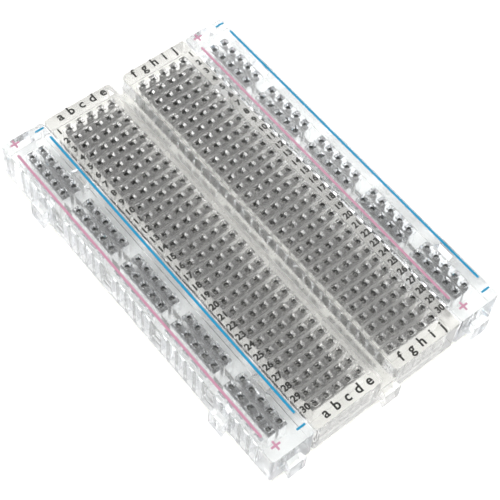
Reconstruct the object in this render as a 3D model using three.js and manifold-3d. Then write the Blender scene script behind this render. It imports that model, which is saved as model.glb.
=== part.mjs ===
// Clear solderless breadboard, half size: a terminal strip between two power strips.
//
// Frame: millimetres, +Z up, origin at the middle of the sticky base's underside.
// X runs across the board, from the left power strip (-X) to the right one (+X).
// Y runs along it, from row 30 (-Y) to row 1 (+Y).
//
// Each strip is one moulded housing, open underneath. Its roof has a grid of square wire
// holes over pockets that hold the sprung clips, and a foam pad with a peel-off liner
// closes the pockets. Dovetail tabs on the -X and -Y sides fit slots on the +X and +Y
// sides, so the strips lift off each other, and whole boards join edge to edge.

import * as THREE from 'three';
import { mergeVertices } from 'three/addons/utils/BufferGeometryUtils.js';
import Module from 'manifold-3d';

const wasm = await Module();
wasm.setup();

// ---- The grid of contacts ----
const PITCH = 2.54;
const ROWS = 30;
const CONTACTS_PER_CLIP = 5;
const BANK_CENTRE_X = 3.5 * PITCH;
const RAIL_OFFSET_X = PITCH / 2;
const RAIL_GROUPS = [-2, -1, 0, 1, 2];
const RAIL_GROUP_PITCH = 6 * PITCH;
const HOLE_SIDE = 0.9;

// ---- Overall size ----
const BOARD_WIDTH = 54;
const BOARD_LENGTH = 82.2;
const BOARD_HEIGHT = 9.5;
const POWER_STRIP_WIDTH = 9.5;
const SEAM = 0.3;
const TERMINAL_STRIP_WIDTH = BOARD_WIDTH - 2 * (POWER_STRIP_WIDTH + SEAM);
const POWER_STRIP_X = (BOARD_WIDTH - POWER_STRIP_WIDTH) / 2;
const HALF_LENGTH = BOARD_LENGTH / 2;
const CORNER_RADIUS = 0.6;

// ---- Layers under the housings ----
const LINER_THICKNESS = 0.1;
const FOAM_THICKNESS = 0.9;
const HOUSING_BOTTOM = LINER_THICKNESS + FOAM_THICKNESS;
const HOUSING_HEIGHT = BOARD_HEIGHT - HOUSING_BOTTOM;

// ---- Inside a housing, heights from its bottom ----
const ROOF_THICKNESS = 1.5;
const POCKET_DEPTH = HOUSING_HEIGHT - ROOF_THICKNESS;
const POCKET_WIDTH = 1.9;
const POCKET_PAST_HOLES = 1.2;
const POCKET_LENGTH = (CONTACTS_PER_CLIP - 1) * PITCH + 2 * POCKET_PAST_HOLES;
const WEB_RECESS_DEPTH = 0.45;
const WALL = 1;
const PARTITION = PITCH - POCKET_WIDTH;
const RAVINE_WIDTH = 2.8;
const RAVINE_DEPTH = 3.5;
const RAVINE_FLARE = 1;
const RAVINE_FLOOR_THICKNESS = 1.2;
const RAVINE_CORE_WIDTH = 2.08;
const RAVINE_CORE_COUNT = 5;
const RAVINE_CORE_GAP = 2;

// ---- Dovetails ----
const TAB_HEIGHT = 4.5;
const TAB_REACH = 1.5;
const TAB_NECK = 3;
const TAB_HEAD = 3.9;
const TAB_ROOT = 0.3;
const TAB_CLEARANCE = 0.2;
const SIDE_TAB_Y = 27.4;

// ---- Clips ----
const CLIP_THICKNESS = 0.2;
const CLIP_BASE_WIDTH = 1.5;
const CLIP_END_CLEARANCE = 0.15;
const CLIP_LENGTH = POCKET_LENGTH - 2 * CLIP_END_CLEARANCE;
const CLIP_PINCH_HEIGHT = 5.7;
const CLIP_PINCH_GAP = 0.2;
const CLIP_TOP_HEIGHT = 6.6;
const CLIP_MOUTH = 1.2;
const CLIP_LIFT = 0.05;
const PAIR_WEB_WIDTH = 1.6;

// How far a cutter runs past the face it opens, and the straight steps in a quarter turn.
const CUT_MARGIN = 1;
const ARC_STEPS = 3;

// ---- Materials ----
const clearPlastic = new THREE.MeshStandardMaterial({
  color: 0xe9edf0, roughness: 0.12, metalness: 0, transparent: true, opacity: 0.35,
});
const clipMetal = new THREE.MeshStandardMaterial({ color: 0x8d8d88, roughness: 0.35, metalness: 1 });
const foam = new THREE.MeshStandardMaterial({ color: 0xf0efe9, roughness: 0.95, metalness: 0 });
const linerPaper = new THREE.MeshStandardMaterial({ color: 0xf6f3e6, roughness: 0.6, metalness: 0 });

// ---- Solids and how they join ----

// A closed geometry as a solid that can be joined and cut.
function toSolid(geometry) {
  geometry.deleteAttribute('normal');
  geometry.deleteAttribute('uv');
  const merged = mergeVertices(geometry);
  return new wasm.Manifold(new wasm.Mesh({
    numProp: 3,
    vertProperties: new Float32Array(merged.attributes.position.array),
    triVerts: new Uint32Array(merged.index.array),
  }));
}

function toGeometry(solid) {
  const mesh = solid.getMesh();
  const geometry = new THREE.BufferGeometry();
  geometry.setAttribute('position', new THREE.BufferAttribute(mesh.vertProperties, 3));
  geometry.setIndex(new THREE.BufferAttribute(mesh.triVerts, 1));
  geometry.computeVertexNormals();
  return geometry;
}

function union(solids) {
  return solids.reduce((whole, next) => whole.add(next));
}

// A block of the given size, centred on x and y, standing on height z.
function block(width, length, height, x, y, z) {
  const geometry = new THREE.BoxGeometry(width, length, height);
  geometry.translate(x, y, z + height / 2);
  return toSolid(geometry);
}

// A flat outline raised from z to z + height.
function prism(shape, height, z) {
  const geometry = new THREE.ExtrudeGeometry(shape, {
    depth: height, bevelEnabled: false, curveSegments: ARC_STEPS,
  });
  geometry.translate(0, 0, z);
  return toSolid(geometry);
}

// A rectangle centred on the origin, with its corners rounded.
function roundedRectangle(width, length) {
  const x = width / 2 - CORNER_RADIUS;
  const y = length / 2 - CORNER_RADIUS;
  const shape = new THREE.Shape();
  shape.absarc(x, y, CORNER_RADIUS, 0, Math.PI / 2);
  shape.absarc(-x, y, CORNER_RADIUS, Math.PI / 2, Math.PI);
  shape.absarc(-x, -y, CORNER_RADIUS, Math.PI, 1.5 * Math.PI);
  shape.absarc(x, -y, CORNER_RADIUS, 1.5 * Math.PI, 2 * Math.PI);
  return shape;
}

function named(name, geometry, material) {
  const mesh = new THREE.Mesh(geometry, material);
  mesh.name = name;
  return mesh;
}

// ---- Dovetails ----

// The plan of a dovetail on the face at y = 0, reaching towards -Y, grown by a clearance.
function dovetail(clearance, root) {
  const neck = TAB_NECK / 2 + clearance;
  const head = TAB_HEAD / 2 + clearance;
  const reach = TAB_REACH + clearance;
  return new THREE.Shape([
    new THREE.Vector2(-neck, root),
    new THREE.Vector2(-neck, 0),
    new THREE.Vector2(-head, -reach),
    new THREE.Vector2(head, -reach),
    new THREE.Vector2(neck, 0),
    new THREE.Vector2(neck, root),
  ]);
}

// Tabs reach out of the -X and -Y faces, and stop level with the housing's bottom.
function endTab() {
  return prism(dovetail(0, TAB_ROOT), TAB_HEIGHT, 0).translate([0, -HALF_LENGTH, 0]);
}

function sideTab(width, y) {
  return prism(dovetail(0, TAB_ROOT), TAB_HEIGHT, 0).rotate([0, 0, -90]).translate([-width / 2, y, 0]);
}

// Slots sink into the +X and +Y faces and are open underneath. Each is a tab of the strip
// across the seam, grown by the clearance.
function slotCutter() {
  const height = TAB_HEIGHT + TAB_CLEARANCE + CUT_MARGIN;
  return prism(dovetail(TAB_CLEARANCE, CUT_MARGIN), height, -CUT_MARGIN);
}

function slots(width) {
  const end = slotCutter().translate([0, HALF_LENGTH + SEAM, 0]);
  const sides = [-SIDE_TAB_Y, SIDE_TAB_Y].map((y) => (
    slotCutter().rotate([0, 0, -90]).translate([width / 2 + SEAM, y, 0])));
  return union([end, ...sides]);
}

function withDovetails(body, width) {
  const tabs = [endTab(), ...[-SIDE_TAB_Y, SIDE_TAB_Y].map((y) => sideTab(width, y))];
  return body.add(union(tabs)).subtract(slots(width));
}

// ---- Housings, each centred on its own strip, standing on z = 0 ----

function wireHole(x, y) {
  const height = ROOF_THICKNESS + 2 * CUT_MARGIN;
  return block(HOLE_SIDE, HOLE_SIDE, height, x, y, POCKET_DEPTH - CUT_MARGIN);
}

// A pocket open underneath.
function pocket(width, length, depth, x, y) {
  return block(width, length, depth + CUT_MARGIN, x, y, -CUT_MARGIN);
}

function contactOffsets() {
  const offsets = [];
  for (let i = 0; i < CONTACTS_PER_CLIP; i += 1) {
    offsets.push((i - (CONTACTS_PER_CLIP - 1) / 2) * PITCH);
  }
  return offsets;
}

function rowY(row) {
  return ((ROWS + 1) / 2 - row) * PITCH;
}

// Rows 1 and 2, 3 and 4, and so on share a recess for the web that joins their clips.
function rowPairs() {
  const pairs = [];
  for (let row = 1; row < ROWS; row += 2) {
    pairs.push({ first: row, second: row + 1, y: (rowY(row) + rowY(row + 1)) / 2 });
  }
  return pairs;
}

// The channel between the two banks, whose walls curve away at both ends.
function ravineCutter() {
  const half = RAVINE_WIDTH / 2;
  const flareX = half + RAVINE_FLARE;
  const flareY = HALF_LENGTH - RAVINE_FLARE;
  const outside = HALF_LENGTH + CUT_MARGIN;
  const shape = new THREE.Shape();
  shape.moveTo(-flareX, outside);
  shape.absarc(-flareX, flareY, RAVINE_FLARE, Math.PI / 2, 0, true);
  shape.absarc(-flareX, -flareY, RAVINE_FLARE, 0, -Math.PI / 2, true);
  shape.lineTo(-flareX, -outside);
  shape.lineTo(flareX, -outside);
  shape.absarc(flareX, -flareY, RAVINE_FLARE, -Math.PI / 2, -Math.PI, true);
  shape.absarc(flareX, flareY, RAVINE_FLARE, Math.PI, Math.PI / 2, true);
  shape.lineTo(flareX, outside);
  return prism(shape, RAVINE_DEPTH + CUT_MARGIN, HOUSING_HEIGHT - RAVINE_DEPTH);
}

// Cores that keep the plastic under the ravine an even thickness.
function ravineCores() {
  const depth = HOUSING_HEIGHT - RAVINE_DEPTH - RAVINE_FLOOR_THICKNESS;
  const span = 2 * rowY(1);
  const pitch = span / RAVINE_CORE_COUNT;
  const cores = [];
  for (let i = 0; i < RAVINE_CORE_COUNT; i += 1) {
    const y = (i - (RAVINE_CORE_COUNT - 1) / 2) * pitch;
    cores.push(pocket(RAVINE_CORE_WIDTH, pitch - RAVINE_CORE_GAP, depth, 0, y));
  }
  return cores;
}

function terminalHousing() {
  const body = prism(roundedRectangle(TERMINAL_STRIP_WIDTH, BOARD_LENGTH), HOUSING_HEIGHT, 0);
  const cutters = [ravineCutter(), ...ravineCores()];
  for (const bankX of [-BANK_CENTRE_X, BANK_CENTRE_X]) {
    for (let row = 1; row <= ROWS; row += 1) {
      cutters.push(pocket(POCKET_LENGTH, POCKET_WIDTH, POCKET_DEPTH, bankX, rowY(row)));
      contactOffsets().forEach((offset) => cutters.push(wireHole(bankX + offset, rowY(row))));
    }
    for (const pair of rowPairs()) {
      cutters.push(pocket(POCKET_LENGTH, PITCH + POCKET_WIDTH, WEB_RECESS_DEPTH, bankX, pair.y));
    }
  }
  return toGeometry(withDovetails(body.subtract(union(cutters)), TERMINAL_STRIP_WIDTH));
}

function powerHousing() {
  const body = prism(roundedRectangle(POWER_STRIP_WIDTH, BOARD_LENGTH), HOUSING_HEIGHT, 0);
  const railReach = RAIL_OFFSET_X + POCKET_WIDTH / 2;
  const coreWidth = POWER_STRIP_WIDTH / 2 - WALL - railReach - PARTITION;
  const coreX = -(railReach + PARTITION + coreWidth / 2);
  const railLength = RAIL_GROUP_PITCH * (RAIL_GROUPS.length - 1) + POCKET_LENGTH;
  const cutters = [];
  for (const group of RAIL_GROUPS) {
    const groupY = group * RAIL_GROUP_PITCH;
    cutters.push(pocket(coreWidth, POCKET_LENGTH, POCKET_DEPTH, coreX, groupY));
    for (const railX of [-RAIL_OFFSET_X, RAIL_OFFSET_X]) {
      cutters.push(pocket(POCKET_WIDTH, POCKET_LENGTH, POCKET_DEPTH, railX, groupY));
      contactOffsets().forEach((offset) => cutters.push(wireHole(railX, groupY + offset)));
    }
  }
  for (const railX of [-RAIL_OFFSET_X, RAIL_OFFSET_X]) {
    cutters.push(pocket(POCKET_WIDTH, railLength, WEB_RECESS_DEPTH, railX, 0));
  }
  return toGeometry(withDovetails(body.subtract(union(cutters)), POWER_STRIP_WIDTH));
}

// ---- Clips, each folded from sheet, with leaves that pinch a wire ----

// The folded section in Y and Z, made as one length of channel along X.
function clipChannel() {
  const base = CLIP_BASE_WIDTH / 2;
  const pinch = CLIP_PINCH_GAP / 2;
  const mouth = CLIP_MOUTH / 2;
  const half = [
    [base - CLIP_THICKNESS, CLIP_THICKNESS],
    [pinch, CLIP_PINCH_HEIGHT],
    [mouth, CLIP_TOP_HEIGHT],
    [mouth + CLIP_THICKNESS, CLIP_TOP_HEIGHT],
    [pinch + CLIP_THICKNESS, CLIP_PINCH_HEIGHT],
    [base, 0],
  ];
  const other = half.map(([y, z]) => [-y, z]).reverse();
  const shape = new THREE.Shape([...half, ...other].map(([y, z]) => new THREE.Vector2(y, z)));
  const geometry = new THREE.ExtrudeGeometry(shape, { depth: CLIP_LENGTH, bevelEnabled: false });
  geometry.translate(0, 0, -CLIP_LENGTH / 2);
  geometry.rotateX(Math.PI / 2);
  geometry.rotateZ(Math.PI / 2);
  return toSolid(geometry);
}

// The clips of two neighbouring rows, joined by a short web under the partition.
function clipPairGeometry() {
  const channel = clipChannel();
  const web = block(PAIR_WEB_WIDTH, PITCH, CLIP_THICKNESS, 0, 0, 0);
  const rows = [-PITCH / 2, PITCH / 2].map((y) => channel.translate([0, y, 0]));
  return toGeometry(union([web, ...rows]));
}

// One rail's clip: a length of channel under each group of holes, on one long web.
function busClipGeometry() {
  const channel = clipChannel().rotate([0, 0, 90]);
  const webLength = RAIL_GROUP_PITCH * (RAIL_GROUPS.length - 1) + CLIP_LENGTH / 2;
  const web = block(CLIP_BASE_WIDTH - CLIP_THICKNESS, webLength, CLIP_THICKNESS, 0, 0, 0);
  const groups = RAIL_GROUPS.map((group) => channel.translate([0, group * RAIL_GROUP_PITCH, 0]));
  return toGeometry(union([web, ...groups]));
}

// ---- Assembly ----

// The foam pad and its liner, the same plan as the strip above them. They are notched at
// the slots, so that the next strip's tabs pass them as the strips lift apart.
function adhesiveBacking(prefix, width) {
  const outline = roundedRectangle(width, BOARD_LENGTH);
  const notches = slots(width);
  const pad = toGeometry(prism(outline, FOAM_THICKNESS, LINER_THICKNESS).subtract(notches));
  const liner = toGeometry(prism(outline, LINER_THICKNESS, 0).subtract(notches));
  return [
    named(`${prefix}_foam_pad`, pad, foam),
    named(`${prefix}_release_liner`, liner, linerPaper),
  ];
}

function twoDigits(number) {
  return String(number).padStart(2, '0');
}

function terminalStrip() {
  const strip = new THREE.Group();
  const housing = named('terminal_strip_housing', terminalHousing(), clearPlastic);
  housing.position.z = HOUSING_BOTTOM;
  strip.add(housing, ...adhesiveBacking('terminal_strip', TERMINAL_STRIP_WIDTH));
  const pairGeometry = clipPairGeometry();
  const banks = [{ letters: 'ae', x: -BANK_CENTRE_X }, { letters: 'fj', x: BANK_CENTRE_X }];
  for (const bank of banks) {
    for (const pair of rowPairs()) {
      const rows = `${twoDigits(pair.first)}_${twoDigits(pair.second)}`;
      const clips = named(`clips_${bank.letters}_rows_${rows}`, pairGeometry, clipMetal);
      clips.position.set(bank.x, pair.y, HOUSING_BOTTOM + CLIP_LIFT);
      strip.add(clips);
    }
  }
  return strip;
}

function powerStrip(side, x) {
  const strip = new THREE.Group();
  strip.position.x = x;
  const housing = named(`${side}_power_strip_housing`, powerHousing(), clearPlastic);
  housing.position.z = HOUSING_BOTTOM;
  strip.add(housing, ...adhesiveBacking(`${side}_power_strip`, POWER_STRIP_WIDTH));
  const rails = [{ sign: 'positive', x: -RAIL_OFFSET_X }, { sign: 'negative', x: RAIL_OFFSET_X }];
  for (const rail of rails) {
    const clip = named(`${side}_${rail.sign}_bus_clip`, busClipGeometry(), clipMetal);
    clip.position.set(rail.x, 0, HOUSING_BOTTOM + CLIP_LIFT);
    strip.add(clip);
  }
  return strip;
}

const breadboard = new THREE.Group();
breadboard.add(
  powerStrip('left', -POWER_STRIP_X),
  terminalStrip(),
  powerStrip('right', POWER_STRIP_X),
);

export default breadboard;
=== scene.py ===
"""Looks of the clear solderless breadboard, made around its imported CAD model.

Pieces are drawn in millimetres in the CAD model's frame, and each mesh is scaled to metres
when it is finished. Every strip is drawn centred on x = 0 and then moved to its own place.
"""

import math

import bmesh
import bpy
from mathutils import Matrix, Vector, noise


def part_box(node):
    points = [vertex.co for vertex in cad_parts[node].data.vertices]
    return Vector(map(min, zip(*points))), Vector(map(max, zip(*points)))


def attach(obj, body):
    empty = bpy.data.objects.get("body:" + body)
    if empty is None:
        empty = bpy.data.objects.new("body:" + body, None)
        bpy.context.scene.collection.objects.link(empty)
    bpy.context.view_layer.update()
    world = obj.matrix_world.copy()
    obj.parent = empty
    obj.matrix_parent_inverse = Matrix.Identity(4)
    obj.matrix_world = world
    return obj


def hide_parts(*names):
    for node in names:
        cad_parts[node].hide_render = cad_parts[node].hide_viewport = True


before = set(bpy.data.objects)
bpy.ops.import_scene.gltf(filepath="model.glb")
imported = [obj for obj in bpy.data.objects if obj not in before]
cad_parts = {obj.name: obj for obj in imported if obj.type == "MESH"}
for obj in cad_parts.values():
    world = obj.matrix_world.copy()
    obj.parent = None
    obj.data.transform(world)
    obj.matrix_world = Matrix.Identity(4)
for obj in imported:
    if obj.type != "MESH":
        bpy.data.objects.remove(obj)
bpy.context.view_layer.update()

MM = 0.001
LEAST_CORNER = 0.02

# ---- The grid of contacts ----
PITCH = 2.54
ROWS = 30
CONTACTS = [(i - 2) * PITCH for i in range(5)]
BANK_X = 3.5 * PITCH
RAIL_X = PITCH / 2
GROUPS = [k * 6 * PITCH for k in range(-2, 3)]
BANKS = {"ae": -BANK_X, "fj": BANK_X}

# ---- Housings ----
TAB_REACH = 1.5
TAB_NECK = 3.0
TAB_HEAD = 3.9
TAB_HEIGHT = 4.5
TAB_ROOT = 0.3
SIDE_TAB_Y = 27.4
SEAM = 0.3
CLEARANCE = 0.2
CORNER = 0.6
RIM = 0.22
TAB_RIM = 0.12
ROOF = 1.5
POCKET_LENGTH = 12.56
POCKET_WIDTH = 1.9
POCKET_CORNER = 0.25
POCKET_RIM = 0.15
PARTITION = PITCH - POCKET_WIDTH
WALL = 1.0
HOLE = 0.9
HOLE_CORNER = 0.3
HOLE_OVERLAP = 0.4
# The funnel at a wire hole's mouth is only in the looks. The CAD model's holes are straight.
FUNNEL = 1.55
FUNNEL_DEPTH = 0.6
RAVINE_WIDTH = 2.8
RAVINE_DEPTH = 3.5
RAVINE_FLARE = 1.0
RAVINE_EDGE = 0.25
RAVINE_FLOOR = 1.2
RAVINE_CORE_HALF_X = RAVINE_WIDTH / 2 - 0.36
RAVINE_CORE_HALF_Y = 6.6
RIB = 0.6
PAST = 1.0
# The gap under a housing, so that its pad's face doesn't lie in the housing's.
AIR = 0.03

# ---- Clips ----
SHEET = 0.2
CLIP_LIFT = 0.05
BASE_HALF = 0.65
PINCH_HALF = 0.2
PINCH_HEIGHT = 5.6
FOLD_RADIUS = 0.3
LIP_RADIUS = 0.9
LIP_END = 122
LEAF_FOOT = 2.0
LEAF_TIP = 1.6
LEAF_ROUNDING = 0.25
LEAF_BEVEL = 0.035

# ---- Print ----
INK = 0.02
INK_END_ROUNDNESS = 0.95
LINE_WIDTH = 0.5
RED_LINE_X = -3.35
BLUE_LINE_X = 4.08
LINE_Y = (-36.2, 37.3)
PLUS_X = -2.35
MINUS_X = 3.3
SIGN_Y = (-38.8, 39.75)
SIGN_SIZE = 2.0
SIGN_STROKE = 0.42
LETTER_Y = (-40.3, 39.1)
LETTER_SIZE = 2.75
NUMBER_X = 16.1
NUMBER_SIZE = 1.85
NUMBER_BASE = -0.35
STROKE_WEIGHT = 0.07

# ---- Foam and liner ----
FOAM_CELL = 0.35
BACKING_STEP = 0.45
CUT_WAVES_ALONG = 1.7
CUT_WAVES_UP = 3.1
FOAM_ROUGHNESS = 0.07
FOAM_LAYERS = 5
LINER_ROUGHNESS = 0.02
LINER_LAYERS = 1

# ---- Plastic ----
PLASTIC_IOR = 1.49
LAMP_TINT = (0.93, 0.93, 0.93)
WARM_TINT = (0.985, 0.982, 0.97)
COOL_TINT = (0.965, 0.98, 0.995)
# Nearly black walls are painted shade: they stand in for the dark that is seen down the wire holes.
HOLE_SHADE = 0.01


# ---- Building meshes ----

def arc(x, y, radius, start, end, steps):
    """Points on an arc, its angles in degrees."""
    angles = [math.radians(start + (end - start) * k / steps) for k in range(steps + 1)]
    return [(x + radius * math.cos(a), y + radius * math.sin(a)) for a in angles]


def rounded_rectangle(half_x, half_y, radius, steps=4):
    """The outline of a rectangle centred on the origin, with its corners rounded."""
    x = half_x - radius
    y = half_y - radius
    corners = [(x, y, 0), (-x, y, 90), (-x, -y, 180), (x, -y, 270)]
    return [p for cx, cy, a in corners for p in arc(cx, cy, radius, a, a + 90, steps)]


def rim_levels(low, high, radius, steps=3):
    """Heights and insets of a body whose bottom and top rims are rounded."""
    quarter = [math.pi / 2 * k / steps for k in range(steps + 1)]
    bottom = [(low + radius * (1 - math.cos(a)), radius * (1 - math.sin(a))) for a in quarter]
    top = [(high - radius * (1 - math.cos(a)), radius * (1 - math.sin(a))) for a in quarter]
    return bottom + top[::-1]


def loft(bm, rings, material=0):
    """Joins closed rings of points, lowest first, into one closed body with flat ends."""
    loops = [[bm.verts.new(point) for point in ring] for ring in rings]
    count = len(rings[0])
    faces = []
    for lower, upper in zip(loops, loops[1:]):
        for i in range(count):
            j = (i + 1) % count
            faces.append(bm.faces.new((lower[i], lower[j], upper[j], upper[i])))
    faces.append(bm.faces.new(loops[0][::-1]))
    faces.append(bm.faces.new(loops[-1]))
    for face in faces:
        face.material_index = material
    return faces


def raised(outline, z, x=0.0, y=0.0):
    """A flat outline as points at height z, moved by x and y."""
    return [(px + x, py + y, z) for px, py in outline]


def add_block(bm, centre, half, low, high, corner, rim, material=0):
    """A block with rounded upright edges and rounded rims."""
    rings = []
    for z, inset in rim_levels(low, high, rim):
        radius = max(corner - inset, LEAST_CORNER)
        outline = rounded_rectangle(half[0] - inset, half[1] - inset, radius)
        rings.append(raised(outline, z, *centre))
    loft(bm, rings, material)


def mesh_piece(name, bm, materials):
    """An object in millimetres made of the given bmesh."""
    mesh = bpy.data.meshes.new(name)
    bm.to_mesh(mesh)
    bm.free()
    for material in materials:
        mesh.materials.append(material)
    piece = bpy.data.objects.new(name, mesh)
    bpy.context.scene.collection.objects.link(piece)
    return piece


def apply_modifiers(piece):
    """Puts the result of a piece's modifiers in its mesh."""
    depsgraph = bpy.context.evaluated_depsgraph_get()
    mesh = bpy.data.meshes.new_from_object(piece.evaluated_get(depsgraph))
    piece.modifiers.clear()
    piece.data = mesh


def combine(piece, tool, operation):
    """Joins or cuts a piece with a tool, and removes the tool."""
    modifier = piece.modifiers.new("combine", "BOOLEAN")
    modifier.object = tool
    modifier.operation = operation
    modifier.solver = "MANIFOLD"
    apply_modifiers(piece)
    bpy.data.objects.remove(tool)


def finish_piece(piece, body, x=0.0, nodes=(), smooth=None):
    """Moves a piece to its strip, scales it to metres and ties it to the CAD model."""
    piece.data.transform(Matrix.Scale(MM, 4) @ Matrix.Translation((x, 0, 0)))
    if smooth is not None:
        piece.data.polygons.foreach_set("use_smooth", [True] * len(piece.data.polygons))
        piece.data.set_sharp_from_angle(angle=math.radians(smooth))
    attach(piece, body)
    if nodes:
        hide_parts(*nodes)
    return piece


# ---- Materials ----

class Nodes:
    """A material's node tree, with a Principled shader."""

    def __init__(self, name):
        self.material = bpy.data.materials.new(name)
        self.material.use_nodes = True
        self.tree = self.material.node_tree
        self.shader = self.tree.nodes["Principled BSDF"]
        self.output = self.tree.nodes["Material Output"]
        self.place = self.add("ShaderNodeTexCoord").outputs["Object"]

    def add(self, kind, inputs=None, **settings):
        node = self.tree.nodes.new(kind)
        for key, value in settings.items():
            setattr(node, key, value)
        for key, value in (inputs or {}).items():
            if isinstance(value, bpy.types.NodeSocket):
                self.tree.links.new(value, node.inputs[key])
            else:
                node.inputs[key].default_value = value
        return node

    def set(self, **values):
        for key, value in values.items():
            socket = self.shader.inputs[key.replace("_", " ")]
            if isinstance(value, bpy.types.NodeSocket):
                self.tree.links.new(value, socket)
            else:
                socket.default_value = value

    def scaled_place(self, size_mm, stretch=(1, 1, 1)):
        """Coordinates that go up by one every size_mm, or further along a stretched axis."""
        mapping = self.add("ShaderNodeMapping", {"Vector": self.place})
        mapping.inputs["Scale"].default_value = [1 / (size_mm * MM * s) for s in stretch]
        return mapping.outputs[0]

    def noise(self, size_mm, detail=2.0, stretch=(1, 1, 1)):
        """Noise whose grains are about size_mm across, longer along a stretched axis."""
        place = self.scaled_place(size_mm, stretch)
        return self.add("ShaderNodeTexNoise", {
            "Vector": place, "Scale": 1.0, "Detail": detail}).outputs["Fac"]

    def spread(self, value, low, high, out_low, out_high):
        return self.add("ShaderNodeMapRange", {
            "Value": value, "From Min": low, "From Max": high,
            "To Min": out_low, "To Max": out_high}).outputs["Result"]

    def colours(self, value, dark, light):
        ramp = self.add("ShaderNodeValToRGB", {"Fac": value})
        ramp.color_ramp.elements[0].color = (*dark, 1)
        ramp.color_ramp.elements[1].color = (*light, 1)
        return ramp.outputs["Color"]

    def bump(self, height, depth_mm, strength=1.0):
        return self.add("ShaderNodeBump", {
            "Height": height, "Distance": depth_mm * MM, "Strength": strength}).outputs["Normal"]


def let_lamps_through(nodes, tint):
    """Makes a material pass rays from the lamps straight on, tinted."""
    lamp_rays = nodes.add("ShaderNodeLightPath").outputs["Is Shadow Ray"]
    through = nodes.add("ShaderNodeBsdfTransparent", {"Color": (*tint, 1)})
    mix = nodes.add("ShaderNodeMixShader", {0: lamp_rays, 1: nodes.shader.outputs[0],
                                            2: through.outputs[0]})
    nodes.tree.links.new(mix.outputs[0], nodes.output.inputs["Surface"])


def clear_plastic(name, tint, clearness, roughness, grain_mm, wave_mm):
    """Slightly milky moulded plastic, its roughness spread over a range, faintly wavy."""
    nodes = Nodes(name)
    grain = nodes.noise(grain_mm, 3.0)
    wave = nodes.noise(wave_mm, 1.0)
    nodes.set(
        Base_Color=(*tint, 1), Transmission_Weight=clearness, IOR=PLASTIC_IOR,
        Roughness=nodes.spread(grain, 0.35, 0.65, *roughness),
        Normal=nodes.bump(wave, 0.02 * wave_mm, 0.06))
    let_lamps_through(nodes, LAMP_TINT)
    return nodes.material


def housing_plastics(name, tint):
    """A housing's outside, its inner walls, its ceilings, its wire holes and its ravine. The wire
    holes' plastic is tinted nearly black, as painted shade.
    """
    shaded = [HOLE_SHADE * channel for channel in tint]
    return [
        clear_plastic(f"{name}_outside", tint, 0.94, (0.05, 0.10), 0.8, 6.0),
        clear_plastic(f"{name}_walls", tint, 0.97, (0.03, 0.08), 0.3, 1.5),
        clear_plastic(f"{name}_ceilings", tint, 0.97, (0.14, 0.22), 0.3, 1.5),
        clear_plastic(f"{name}_holes", shaded, 1.0, (0.2, 0.3), 0.3, 1.5),
        clear_plastic(f"{name}_ravine", tint, 0.97, (0.26, 0.36), 0.3, 1.5),
    ]


def clip_metal():
    """Plated spring strip with fine lines from rolling, and some dull patches."""
    nodes = Nodes("clip_metal")
    lines = nodes.noise(0.06, 2.0, stretch=(12, 12, 1))
    patches = nodes.noise(1.2, 3.0)
    nodes.set(
        Base_Color=nodes.colours(patches, (0.24, 0.24, 0.23), (0.36, 0.36, 0.345)),
        Metallic=1.0, Roughness=nodes.spread(patches, 0.3, 0.7, 0.18, 0.32),
        Normal=nodes.bump(lines, 0.004, 0.6))
    return nodes.material


def foam_rubber():
    """White closed-cell foam tape."""
    nodes = Nodes("foam")
    place = nodes.scaled_place(FOAM_CELL)
    cells = nodes.add("ShaderNodeTexVoronoi", {"Vector": place, "Scale": 1.0})
    shade = nodes.noise(6.0, 2.0)
    nodes.set(
        Base_Color=nodes.colours(shade, (0.80, 0.80, 0.77), (0.86, 0.86, 0.83)),
        Roughness=0.95, Specular_IOR_Level=0.2,
        Normal=nodes.bump(cells.outputs["Distance"], 0.08, 0.6))
    return nodes.material


def liner_paper():
    """Waxed release paper with faint fibres."""
    nodes = Nodes("liner_paper")
    fibres = nodes.noise(0.25, 5.0, stretch=(1, 5, 1))
    nodes.set(
        Base_Color=nodes.colours(fibres, (0.86, 0.83, 0.72), (0.95, 0.93, 0.85)),
        Roughness=nodes.spread(fibres, 0.3, 0.7, 0.42, 0.6),
        Normal=nodes.bump(fibres, 0.01, 0.5))
    return nodes.material


def ink(name, dark, light):
    """Screen-printed ink: even, a little glossy, and thinner in specks."""
    nodes = Nodes(name)
    specks = nodes.noise(0.12, 4.0)
    nodes.set(
        Base_Color=nodes.colours(specks, dark, light),
        Roughness=nodes.spread(specks, 0.3, 0.7, 0.4, 0.55), Specular_IOR_Level=0.15,
        Normal=nodes.bump(specks, 0.004, 0.4))
    let_lamps_through(nodes, light)
    return nodes.material


OUTER, WALLS, CEILINGS, HOLES, RAVINE = range(5)
TERMINAL_PLASTICS = housing_plastics("warm_clear_plastic", WARM_TINT)
POWER_PLASTICS = housing_plastics("cool_clear_plastic", COOL_TINT)
METAL = clip_metal()
FOAM = foam_rubber()
PAPER = liner_paper()
RED = ink("printed_red", (0.40, 0.19, 0.27), (0.46, 0.23, 0.31))
BLUE = ink("printed_blue", (0.005, 0.19, 0.35), (0.01, 0.24, 0.41))
BLACK = ink("printed_black", (0.015, 0.015, 0.014), (0.035, 0.035, 0.033))


# ---- Strips, their sizes read from the CAD model ----

class Strip:
    """One strip's place and size in millimetres: x, half width, half length, heights."""

    def __init__(self, body, plastics):
        self.body = body
        self.plastics = plastics
        self.pad = f"{body}_foam_pad"
        self.liner = f"{body}_release_liner"
        self.housing = f"{body}_housing"
        low, high = (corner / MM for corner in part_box(self.pad))
        self.x = (low.x + high.x) / 2
        self.half_x = (high.x - low.x) / 2
        self.half_y = (high.y - low.y) / 2
        self.pad_low = low.z
        self.bottom = high.z
        self.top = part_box(self.housing)[1].z / MM
        self.ceiling = self.top - ROOF


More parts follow.
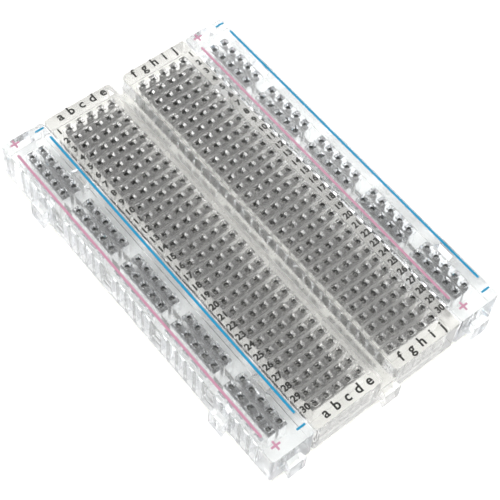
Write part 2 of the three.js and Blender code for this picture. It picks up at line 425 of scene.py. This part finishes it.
def dovetail(grow, root):
    """A tab's plan: its root inside the wall at y = 0, reaching towards -Y."""
    neck = TAB_NECK / 2 + grow
    head = TAB_HEAD / 2 + grow
    reach = TAB_REACH + grow
    return [(-neck, 0), (-head, -reach), (head, -reach), (neck, 0), (neck, root), (-neck, root)]


def turned(outline, clockwise):
    """An outline turned a quarter clockwise, from facing -Y to facing -X."""
    return [(y, -x) for x, y in outline] if clockwise else outline


def shrunk(outline, inset):
    """An outline scaled towards its middle, its furthest point moving in by inset."""
    cx = sum(x for x, y in outline) / len(outline)
    cy = sum(y for x, y in outline) / len(outline)
    reach = max(math.hypot(x - cx, y - cy) for x, y in outline)
    scale = 1 - inset / reach
    return [(cx + (x - cx) * scale, cy + (y - cy) * scale) for x, y in outline]


def tabs(strip):
    """The tabs on the -X and -Y sides."""
    bm = bmesh.new()
    places = [(0, -strip.half_y, False)]
    places += [(-strip.half_x, y, True) for y in (-SIDE_TAB_Y, SIDE_TAB_Y)]
    for x, y, side in places:
        outline = turned(dovetail(0, TAB_ROOT), side)
        rings = [raised(shrunk(outline, inset), z, x, y)
                 for z, inset in rim_levels(strip.bottom, strip.bottom + TAB_HEIGHT, TAB_RIM, 2)]
        loft(bm, rings)
    return mesh_piece("tabs", bm, strip.plastics)


def slots(strip):
    """Cutters for the slots in the +X and +Y sides, open underneath."""
    bm = bmesh.new()
    places = [(0, strip.half_y + SEAM, False)]
    places += [(strip.half_x + SEAM, y, True) for y in (-SIDE_TAB_Y, SIDE_TAB_Y)]
    for x, y, side in places:
        outline = turned(dovetail(CLEARANCE, PAST), side)
        top = strip.bottom + TAB_HEIGHT + CLEARANCE
        loft(bm, [raised(outline, strip.bottom - PAST, x, y), raised(outline, top, x, y)])
    return mesh_piece("slots", bm, strip.plastics)


def add_pocket(bm, strip, x, y, half_x, half_y, top=None):
    """A pocket open underneath, with rounded corners and a rounded ceiling edge."""
    top = strip.ceiling if top is None else top
    add_block(bm, (x, y), (half_x, half_y), strip.bottom - PAST, top,
              POCKET_CORNER, POCKET_RIM, WALLS)


def add_hole(bm, strip, x, y):
    """A square wire hole through the roof, with a funnel at its mouth."""
    levels = [
        (strip.ceiling - HOLE_OVERLAP, HOLE / 2),
        (strip.top - FUNNEL_DEPTH, HOLE / 2),
        (strip.top, FUNNEL / 2),
        (strip.top + PAST, FUNNEL / 2),
    ]
    rings = [raised(rounded_rectangle(half, half, HOLE_CORNER, 3), z, x, y)
             for z, half in levels]
    faces = loft(bm, rings, OUTER)
    # The bore's straight walls get the nearly black hole plastic, which is painted shade.
    for face in faces[:len(rings[0])]:
        face.material_index = HOLES


def row_y(row):
    """A row's place along the board. Row 1 is the furthest towards +Y."""
    return ((ROWS + 1) / 2 - row) * PITCH


def ravine_outline(strip, grow):
    """The channel's plan, its walls flaring away at both ends, grown sideways."""
    half = RAVINE_WIDTH / 2
    radius = RAVINE_FLARE - grow
    flare_x = half + RAVINE_FLARE
    flare_y = strip.half_y - RAVINE_FLARE
    past_y = strip.half_y + PAST
    right_far = arc(flare_x, flare_y, radius, 180, 90, 6) + [(flare_x, past_y)]
    right = [(x, -y) for x, y in reversed(right_far)] + right_far
    left = [(-x, y) for x, y in reversed(right)]
    return right + left


def ravine(strip):
    """The cutter for the channel, which rounds its lips and the foot of its walls."""
    bm = bmesh.new()
    edge = RAVINE_EDGE
    floor = strip.top - RAVINE_DEPTH
    steps = [math.pi / 2 * k / 4 for k in range(5)]
    levels = [(floor + edge * (1 - math.cos(a)), -edge * (1 - math.sin(a))) for a in steps]
    levels += [(strip.top - edge * (1 - math.sin(a)), edge * (1 - math.cos(a))) for a in steps]
    levels.append((strip.top + PAST, edge))
    loft(bm, [raised(ravine_outline(strip, grow), z) for z, grow in levels], RAVINE)
    return mesh_piece("ravine", bm, strip.plastics)


def housing(strip, cutters):
    """A strip's moulding: its block and tabs, less its slots and the given cutters."""
    bm = bmesh.new()
    add_block(bm, (0, 0), (strip.half_x, strip.half_y), strip.bottom, strip.top, CORNER, RIM)
    piece = mesh_piece(f"{strip.housing}_moulding", bm, strip.plastics)
    combine(piece, tabs(strip), "UNION")
    for cutter in [slots(strip), *cutters]:
        combine(piece, cutter, "DIFFERENCE")
    for face in piece.data.polygons:
        if face.material_index == WALLS and face.normal.z < -0.5:
            face.material_index = CEILINGS
    return finish_piece(piece, strip.body, strip.x, [strip.housing])


def terminal_cutters(strip):
    """Cutters for the row pockets, the wire holes, the hollows under the ravine, and the ravine."""
    pockets = bmesh.new()
    holes = bmesh.new()
    for bank_x in BANKS.values():
        for row in range(1, ROWS + 1):
            add_pocket(pockets, strip, bank_x, row_y(row), POCKET_LENGTH / 2, POCKET_WIDTH / 2)
            for offset in CONTACTS:
                add_hole(holes, strip, bank_x + offset, row_y(row))
    core_top = strip.top - RAVINE_DEPTH - RAVINE_FLOOR
    for group_y in GROUPS:
        add_pocket(pockets, strip, 0, group_y, RAVINE_CORE_HALF_X, RAVINE_CORE_HALF_Y, core_top)
    return [mesh_piece("pockets", pockets, strip.plastics),
            mesh_piece("holes", holes, strip.plastics), ravine(strip)]


def power_cutters(strip):
    """Cutters for the rail pockets, the wire holes and the ribbed hollow beside them."""
    pockets = bmesh.new()
    holes = bmesh.new()
    reach = RAIL_X + POCKET_WIDTH / 2
    core_half = (strip.half_x - WALL - reach - PARTITION) / 2
    core_x = -(reach + PARTITION + core_half)
    for group_y in GROUPS:
        for offset in CONTACTS:
            add_pocket(pockets, strip, core_x, group_y + offset, core_half, (PITCH - RIB) / 2)
        for rail_x in (-RAIL_X, RAIL_X):
            add_pocket(pockets, strip, rail_x, group_y, POCKET_WIDTH / 2, POCKET_LENGTH / 2)
            for offset in CONTACTS:
                add_hole(holes, strip, rail_x, group_y + offset)
    return [mesh_piece("pockets", pockets, strip.plastics),
            mesh_piece("holes", holes, strip.plastics)]


# ---- Clips ----

def clip_section():
    """The folded section across a clip, from lip to lip, and the points on its flat base."""
    lean = math.degrees(math.atan2(BASE_HALF - PINCH_HALF, PINCH_HEIGHT))
    fold = arc(BASE_HALF - FOLD_RADIUS, FOLD_RADIUS, FOLD_RADIUS, -90, lean, 4)
    lip_x = PINCH_HALF + LIP_RADIUS * math.cos(math.radians(lean))
    lip_z = PINCH_HEIGHT + LIP_RADIUS * math.sin(math.radians(lean))
    lip = arc(lip_x, lip_z, LIP_RADIUS, 180 + lean, LIP_END, 6)
    foot = fold[-1]
    shin = [tuple(foot[k] + (lip[0][k] - foot[k]) * t for k in (0, 1)) for t in (0.33, 0.66)]
    half = fold + shin + lip
    section = [(-x, z) for x, z in reversed(half)] + [(0.0, 0.0)] + half
    middle = len(half)
    return section, {middle - 1, middle, middle + 1}


def clip_mesh(name, offsets):
    """A clip with a pair of leaves at each offset, slit apart down to the folded base."""
    section, base = clip_section()
    bm = bmesh.new()
    columns = []
    for offset in offsets:
        for side in (-1, 0, 1):
            column = []
            for y, z in section:
                width = LEAF_FOOT + (LEAF_TIP - LEAF_FOOT) * min(z / PINCH_HEIGHT, 1)
                rounding = LEAF_ROUNDING * max(z - PINCH_HEIGHT, 0) ** 2
                column.append(bm.verts.new((offset + side * (width / 2 - rounding), y, z)))
            columns.append(column)
    for i, (left, right) in enumerate(zip(columns, columns[1:])):
        between_leaves = i % 3 == 2
        for j in range(len(section) - 1):
            if not between_leaves or (j in base and j + 1 in base):
                bm.faces.new((left[j], right[j], right[j + 1], left[j + 1]))
    piece = mesh_piece(name, bm, [METAL])
    thicken = piece.modifiers.new("thicken", "SOLIDIFY")
    thicken.thickness = SHEET
    thicken.offset = 0
    soften = piece.modifiers.new("soften", "BEVEL")
    soften.width = LEAF_BEVEL
    soften.segments = 1
    soften.limit_method = "ANGLE"
    soften.angle_limit = math.radians(50)
    apply_modifiers(piece)
    mesh = piece.data
    bpy.data.objects.remove(piece)
    return mesh


def place_clip(name, mesh, body, x, y, z, quarter_turn, nodes):
    """A clip at its place. The mesh is copied, because its place is in its vertices."""
    piece = bpy.data.objects.new(name, mesh.copy())
    bpy.context.scene.collection.objects.link(piece)
    turn = Matrix.Rotation(math.radians(90 if quarter_turn else 0), 4, "Z")
    piece.data.transform(Matrix.Translation((x, y, z)) @ turn)
    return finish_piece(piece, body, nodes=nodes, smooth=35)


def terminal_clips(strip):
    """A clip under each row of both banks. One CAD node holds two rows' clips."""
    mesh = clip_mesh("row_clip", CONTACTS)
    base_z = strip.bottom + CLIP_LIFT + SHEET / 2
    for letters, bank_x in BANKS.items():
        for row in range(1, ROWS + 1):
            first = row - (row - 1) % 2
            node = f"clips_{letters}_rows_{first:02d}_{first + 1:02d}"
            place_clip(f"clip_{letters}_row_{row:02d}", mesh, strip.body,
                       bank_x, row_y(row), base_z, False, [node])


def bus_clips(strip, side):
    """A long clip under each of a power strip's two rails."""
    mesh = clip_mesh("bus_clip", [group + offset for group in GROUPS for offset in CONTACTS])
    base_z = strip.bottom + CLIP_LIFT + SHEET / 2
    for sign, rail_x in (("positive", -RAIL_X), ("negative", RAIL_X)):
        name = f"{side}_{sign}_bus_clip"
        place_clip(f"{name}_leaves", mesh, strip.body, strip.x + rail_x, 0, base_z, True, [name])


# ---- Foam and liner ----

def backing_outline(strip, step):
    """A strip's plan, notched at its slots, with points about a step apart."""
    slope = (TAB_HEAD - TAB_NECK) / 2 / (TAB_REACH + CLEARANCE)
    mouth = TAB_NECK / 2 + CLEARANCE + SEAM * slope
    head = TAB_HEAD / 2 + CLEARANCE
    depth = TAB_REACH + CLEARANCE - SEAM
    notch = [(-mouth, 0), (-head, -depth), (head, -depth), (mouth, 0)]
    hx, hy = strip.half_x, strip.half_y
    points = arc(hx - CORNER, -hy + CORNER, CORNER, 270, 360, 4)
    for y in (-SIDE_TAB_Y, SIDE_TAB_Y):
        points += [(hx + py, y + px) for px, py in notch]
    points += arc(hx - CORNER, hy - CORNER, CORNER, 0, 90, 4)
    points += [(-px, hy + py) for px, py in notch]
    points += arc(-hx + CORNER, hy - CORNER, CORNER, 90, 180, 4)
    points += arc(-hx + CORNER, -hy + CORNER, CORNER, 180, 270, 4)
    dense = []
    for (ax, ay), (bx, by) in zip(points, points[1:] + points[:1]):
        count = max(1, round(math.hypot(bx - ax, by - ay) / step))
        dense += [(ax + (bx - ax) * k / count, ay + (by - ay) * k / count)
                  for k in range(count)]
    return dense


def inward(outline):
    """Each point's direction into the outline, which runs anticlockwise."""
    count = len(outline)
    directions = []
    for i in range(count):
        ax, ay = outline[i - 1]
        bx, by = outline[(i + 1) % count]
        length = math.hypot(bx - ax, by - ay) or 1.0
        directions.append((-(by - ay) / length, (bx - ax) / length))
    return directions


def backing(name, strip, low, high, roughness, layers, material):
    """A layer under a strip whose cut sides are uneven by up to roughness."""
    outline = backing_outline(strip, BACKING_STEP)
    into = inward(outline)
    rings = []
    for k in range(layers + 1):
        z = low + (high - low) * k / layers
        edge = 0.5 if k in (0, layers) else 1.0
        ring = []
        for (x, y), (dx, dy) in zip(outline, into):
            chance = noise.noise(Vector((x * CUT_WAVES_ALONG, y * CUT_WAVES_ALONG,
                                         z * CUT_WAVES_UP + strip.x)))
            inset = roughness * (1 + edge * chance) / 2
            ring.append((x + dx * inset, y + dy * inset, z))
        rings.append(ring)
    bm = bmesh.new()
    loft(bm, rings)
    return mesh_piece(name, bm, [material])


def foam_and_liner(strip):
    """The foam pad under a strip and the release liner under the pad."""
    pad = backing(f"{strip.pad}_tape", strip, strip.pad_low, strip.bottom - AIR,
                  FOAM_ROUGHNESS, FOAM_LAYERS, FOAM)
    finish_piece(pad, strip.body, strip.x, [strip.pad], smooth=50)
    liner = backing(f"{strip.liner}_paper", strip, 0, strip.pad_low,
                    LINER_ROUGHNESS, LINER_LAYERS, PAPER)
    finish_piece(liner, strip.body, strip.x, [strip.liner])


# ---- Print ----

def add_mark(bm, outline, x, y, z):
    """A printed mark, which stands INK above the surface at z and reaches as far below."""
    loft(bm, [raised(outline, z - INK, x, y), raised(outline, z + INK, x, y)])


def capsule(half_x, half_y):
    """A bar with rounded ends."""
    return rounded_rectangle(half_x, half_y, min(half_x, half_y) * INK_END_ROUNDNESS, 4)


def plus_outline(size, stroke):
    a, b = size / 2, stroke / 2
    quarter = [(a, -b), (a, b), (b, b)]
    outline = []
    for turn in range(4):
        for x, y in quarter:
            for _ in range(turn):
                x, y = -y, x
            outline.append((x, y))
    return outline


def power_print(strip, side):
    """The red line and plus signs, and the blue line and minus signs."""
    half_line = (LINE_Y[1] - LINE_Y[0]) / 2
    middle = (LINE_Y[1] + LINE_Y[0]) / 2
    red = bmesh.new()
    add_mark(red, capsule(LINE_WIDTH / 2, half_line), RED_LINE_X, middle, strip.top)
    blue = bmesh.new()
    add_mark(blue, capsule(LINE_WIDTH / 2, half_line), BLUE_LINE_X, middle, strip.top)
    for y in SIGN_Y:
        add_mark(red, plus_outline(SIGN_SIZE, SIGN_STROKE), PLUS_X, y, strip.top)
        add_mark(blue, capsule(SIGN_SIZE / 2, SIGN_STROKE / 2), MINUS_X, y, strip.top)
    for colour, bm, material in (("red", red, RED), ("blue", blue, BLUE)):
        piece = mesh_piece(f"{side}_{colour}_print", bm, [material])
        finish_piece(piece, strip.body, strip.x)


def text_marks(name, marks, size, weight, z):
    """One mesh of small upright characters. Each mark is its text and its place."""
    meshes = []
    for text, x, y in marks:
        curve = bpy.data.curves.new(name, "FONT")
        curve.body = text
        curve.align_x = "CENTER"
        curve.size = size
        curve.offset = weight
        curve.extrude = INK
        curve.resolution_u = 3
        label = bpy.data.objects.new(name, curve)
        bpy.context.scene.collection.objects.link(label)
        mesh = bpy.data.meshes.new_from_object(
            label.evaluated_get(bpy.context.evaluated_depsgraph_get()))
        mesh.transform(Matrix.Translation((x, y, z)))
        meshes.append(mesh)
        bpy.data.objects.remove(label)
    bm = bmesh.new()
    for mesh in meshes:
        bm.from_mesh(mesh)
    return mesh_piece(name, bm, [BLACK])


def terminal_print(strip):
    """Letters at both ends of every column, and a number beside both ends of every row."""
    letters = []
    for name, first in (("abcde", -BANK_X), ("fghij", BANK_X)):
        for letter, offset in zip(name, CONTACTS):
            letters += [(letter, first + offset, y) for y in LETTER_Y]
    piece = text_marks("column_letters", letters, LETTER_SIZE, STROKE_WEIGHT, strip.top)
    finish_piece(piece, strip.body, strip.x)
    numbers = []
    for row in range(1, ROWS + 1):
        y = row_y(row) + NUMBER_BASE
        numbers += [(str(row), side * NUMBER_X, y) for side in (-1, 1)]
    piece = text_marks("row_numbers", numbers, NUMBER_SIZE, STROKE_WEIGHT, strip.top)
    finish_piece(piece, strip.body, strip.x)


# ---- Camera, lights and floor ----

CAMERA_LOOKS_AT = Vector((-3.57, -6.01, 9.5))
CAMERA_DISTANCE = 247.3
CAMERA_AZIMUTH = -44.27
CAMERA_ELEVATION = 58.66
CAMERA_ROLL = 6.03
CAMERA_LENS = 96.3
CAMERA_SENSOR = 36
KEY_LAMP = dict(azimuth=122, elevation=38, distance=0.8, size=0.5, power=1.8)
FILL_LAMP = dict(azimuth=-60, elevation=50, distance=0.9, size=0.6, power=2.6)
SKY = 1.1
BOUNCES = 64
FLOOR_SIZE_M = 3.0
FLOOR_DROP = 0.02


def direction(azimuth, elevation):
    """The way from the object to something at that azimuth and height, in degrees."""
    a = math.radians(azimuth)
    e = math.radians(elevation)
    return Vector((math.sin(a) * math.cos(e), -math.cos(a) * math.cos(e), math.sin(e)))


def make_camera():
    data = bpy.data.cameras.new("camera")
    data.lens = CAMERA_LENS
    data.sensor_width = CAMERA_SENSOR
    camera = bpy.data.objects.new("camera", data)
    bpy.context.scene.collection.objects.link(camera)
    away = direction(CAMERA_AZIMUTH, CAMERA_ELEVATION)
    turn = (-away).to_track_quat("-Z", "Y").to_matrix().to_4x4()
    roll = Matrix.Rotation(math.radians(CAMERA_ROLL), 4, "Z")
    place = (CAMERA_LOOKS_AT + away * CAMERA_DISTANCE) * MM
    camera.matrix_world = Matrix.Translation(place) @ turn @ roll
    bpy.context.scene.camera = camera


def soft_lamp(name, azimuth, elevation, distance, size, power):
    data = bpy.data.lights.new(name, "AREA")
    data.shape = "DISK"
    data.size = size
    data.energy = power
    lamp = bpy.data.objects.new(name, data)
    bpy.context.scene.collection.objects.link(lamp)
    away = direction(azimuth, elevation)
    lamp.matrix_world = (Matrix.Translation(away * distance)
                         @ (-away).to_track_quat("-Z", "Y").to_matrix().to_4x4())


def make_studio():
    world = bpy.data.worlds.new("studio")
    world.use_nodes = True
    background = world.node_tree.nodes["Background"]
    background.inputs["Color"].default_value = (1, 1, 1, 1)
    background.inputs["Strength"].default_value = SKY
    bpy.context.scene.world = world
    bpy.context.scene.view_settings.view_transform = "Standard"
    # Light crosses many walls inside the clear housings, so it needs many bounces.
    cycles = bpy.context.scene.cycles
    cycles.max_bounces = BOUNCES
    cycles.glossy_bounces = BOUNCES
    cycles.diffuse_bounces = BOUNCES
    cycles.transmission_bounces = BOUNCES
    cycles.transparent_max_bounces = BOUNCES
    soft_lamp("key_lamp", **KEY_LAMP)
    soft_lamp("fill_lamp", **FILL_LAMP)
    bm = bmesh.new()
    bmesh.ops.create_grid(bm, x_segments=8, y_segments=8, size=FLOOR_SIZE_M)
    nodes = Nodes("floor")
    nodes.set(
        Base_Color=nodes.colours(nodes.noise(60.0, 1.0), (0.93, 0.93, 0.93), (0.95, 0.95, 0.95)),
        Roughness=0.9, Specular_IOR_Level=0.1)
    floor = mesh_piece("floor", bm, [nodes.material])
    floor.data.transform(Matrix.Translation((0, 0, -FLOOR_DROP * MM)))


# ---- The whole board ----

make_camera()
make_studio()

terminal = Strip("terminal_strip", TERMINAL_PLASTICS)
housing(terminal, terminal_cutters(terminal))
terminal_clips(terminal)
terminal_print(terminal)
foam_and_liner(terminal)
for side in ("left", "right"):
    strip = Strip(f"{side}_power_strip", POWER_PLASTICS)
    housing(strip, power_cutters(strip))
    bus_clips(strip, side)
    power_print(strip, side)
    foam_and_liner(strip)
